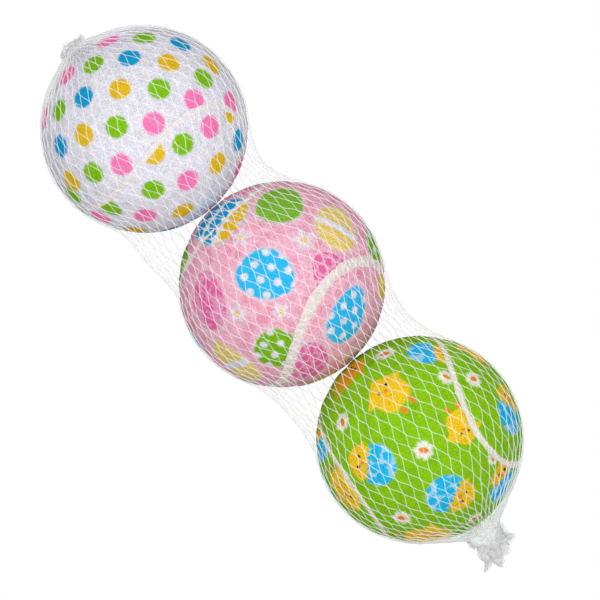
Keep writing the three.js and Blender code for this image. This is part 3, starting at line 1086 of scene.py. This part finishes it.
def loose_net(lobes, seed, strands, joints):
    """Paths of the strands of the lobes. Neighbouring strands zigzag against each other."""
    paths = []
    way = np.where(np.arange(strands) % 2, 0.1, -0.1)[:, None]
    for number, (root, tip, radii) in enumerate(lobes):
        rng = np.random.default_rng(seed + number)
        u = np.linspace(0, 1, 5 * joints + 1)[None, :]
        zigzag = (np.abs((u * joints) % 2 - 1) * 2 - 1) * way
        phi = np.linspace(0, 2 * PI, strands, endpoint=False)[:, None] + zigzag
        reach = u * rng.uniform(0.90, 1.04, (strands, 1))
        layer = rng.uniform(0.5, 1.04, (strands, 1))
        paths.append(lobe_points(root, tip, radii, reach, phi, layer, seed + number))
    return np.concatenate(paths)


def matted_net(name, lobes, seed, material):
    """The body of the lobes, where the net's strands lie too close to tell apart."""
    rows, cols = 40, 80
    points, faces = [], []
    for number, (root, tip, radii) in enumerate(lobes):
        u = np.linspace(0, 0.97, rows)[:, None]
        phi = np.linspace(0, 2 * PI, cols, endpoint=False)[None, :]
        ragged = 1 + 0.06 * np.sin(7 * phi + number) * u
        made = lobe_points(root, tip, radii, u * ragged, phi + 0 * u, 1.0, seed + number)
        points.append(made.reshape(-1, 3))
        faces.append(grid_faces(rows, cols, wrap_cols=True) + number * rows * cols)
    return mesh_object(name, np.concatenate(points), np.concatenate(faces), material)


def tail_piece(made, body, node):
    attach(made, body)
    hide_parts(node)


def build_tails():
    """The gathered ends: a bunch with loose net beyond it, in lobes as the picture shows them.

    A lobe is its root, its tip and its half widths.
    """
    # Painted shade: the gathered net and, darker still, the frayed net are greyer copies of the net's white
    # plastic. They stand in for the shade inside the dense tails. Both keep a small painted glow.
    milky = net_material("gathered_net", 0.62, (0.86, 0.87, 0.88), 0.05)
    loose = net_material("frayed_net", 0.52, (0.70, 0.70, 0.71), 0.05)
    white, green = CENTRES["white_ball"], CENTRES["green_ball"]

    out = np.array([-1.0, 0, 0])
    root = white + out * UPPER_NECK[0]
    lobes = [
        (root - out * 1.5, root + UP * 4.2 + RIGHT * 1.6, (3.2, 3.0, 0.9)),
        (root - out * 1.5, root - RIGHT * 3.2 - UP * 1.8, (3.0, 2.6, 0.8)),
        (root - out * 1.5, root + out * 3.0, (4.0, 3.2, 1.8)),
    ]
    seal = bunch("upper_tail_bunch", root, out, 1.6, 3.8, 31, loose)
    matted = matted_net("upper_tail_matted", lobes, 50, loose)
    fray = tubes("upper_tail_fray", loose_net(lobes, 50, 40, 4), 0.10, loose, 4)
    tail_piece(seal, "upper_tail", "upper_tail_seal")
    tail_piece(matted, "upper_tail", "upper_tail_tuft")
    tail_piece(fray, "upper_tail", "upper_tail_tuft")

    out = np.array([math.cos(LOWER_LEAN), math.sin(LOWER_LEAN), 0])
    root = green + out * 35.6
    lobes = [
        (root, root - UP * 12.0 + RIGHT * 0.8, (3.6, 2.6, 0.7)),
        (root, root + RIGHT * 8.8 - UP * 2.8, (3.4, 3.0, 1.6)),
        (root, root + RIGHT * 5.2 - UP * 10.6, (3.0, 2.2, 0.8)),
        (root, root - RIGHT * 6.2 - UP * 3.6, (3.6, 3.5, 2.6)),
        (root, root + out * 9.6, (4.2, 4.0, 2.4)),
    ]
    knot = bunch("lower_tail_bunch", root, out, 4.0, 5.2, 33, milky)
    matted = matted_net("lower_tail_matted", lobes, 60, loose)
    fray = tubes("lower_tail_fray", loose_net(lobes, 60, 48, 7), 0.11, loose, 4)
    tail_piece(knot, "lower_tail", "lower_tail_knot")
    tail_piece(matted, "lower_tail", "lower_tail_tuft")
    tail_piece(fray, "lower_tail", "lower_tail_tuft")


# ---- Stage ----
def floor_material():
    """Plain white to the camera, and pale grey as a source of bounced light."""
    material, tree, shader = new_material("floor")
    put(tree, shader.inputs["Base Color"], (0.42, 0.42, 0.42))
    put(tree, shader.inputs["Roughness"], 0.9)
    glow = add_node(tree, "ShaderNodeEmission", 0, Color=(1.0, 1.0, 1.0), Strength=1.0)
    seen = add_node(tree, "ShaderNodeLightPath", "Is Camera Ray")
    both = tree.nodes.new("ShaderNodeMixShader")
    put(tree, both.inputs[0], seen)
    tree.links.new(shader.outputs[0], both.inputs[1])
    put(tree, both.inputs[2], glow)
    output = next(node for node in tree.nodes if node.type == "OUTPUT_MATERIAL")
    tree.links.new(both.outputs[0], output.inputs["Surface"])
    return material


def softbox(place, size, power):
    """A square area light that faces the pack."""
    light = bpy.data.lights.new("softbox", "AREA")
    light.size = size
    light.energy = power
    lamp = bpy.data.objects.new("softbox", light)
    lamp.location = place
    lamp.rotation_euler = (-Vector(place)).to_track_quat("-Z", "Y").to_euler()
    bpy.context.scene.collection.objects.link(lamp)


def build_stage():
    """A plain pale floor, soft studio light and the camera straight above the pack.

    The floor is far enough down for an end ball to be lowered to its limit without going into it.
    The camera is far off with a long lens, because the picture shows hardly any perspective.
    """
    scene = bpy.context.scene
    lowered = SPACING * math.sin(math.radians(JOINTS["upper_lift"]["range_deg"][1]))
    bpy.ops.mesh.primitive_plane_add(size=6, location=(0, 0, -lowered * MM))
    floor = bpy.context.object
    floor.data.materials.append(floor_material())

    scene.world = bpy.data.worlds.new("studio")
    scene.world.use_nodes = True
    background = scene.world.node_tree.nodes["Background"]
    background.inputs["Color"].default_value = (1, 1, 1, 1)
    background.inputs["Strength"].default_value = 0.46
    softbox((-0.04, 0.08, 1.3), 0.6, 10.6)

    width_seen = 190.2
    distance = 4000.0
    target = CENTRES["pink_ball"] + RIGHT * 5.7 - UP * 4.95
    camera = bpy.data.objects.new("camera", bpy.data.cameras.new("camera"))
    camera.data.sensor_width = 36
    camera.data.lens = camera.data.sensor_width * distance / width_seen
    camera.location = (target + TOWARDS * distance) * MM
    camera.rotation_euler = (0, 0, VIEW_TURN)
    scene.collection.objects.link(camera)
    scene.camera = camera
    scene.view_settings.view_transform = "Standard"


build_balls()
build_net()
build_tails()
build_stage()
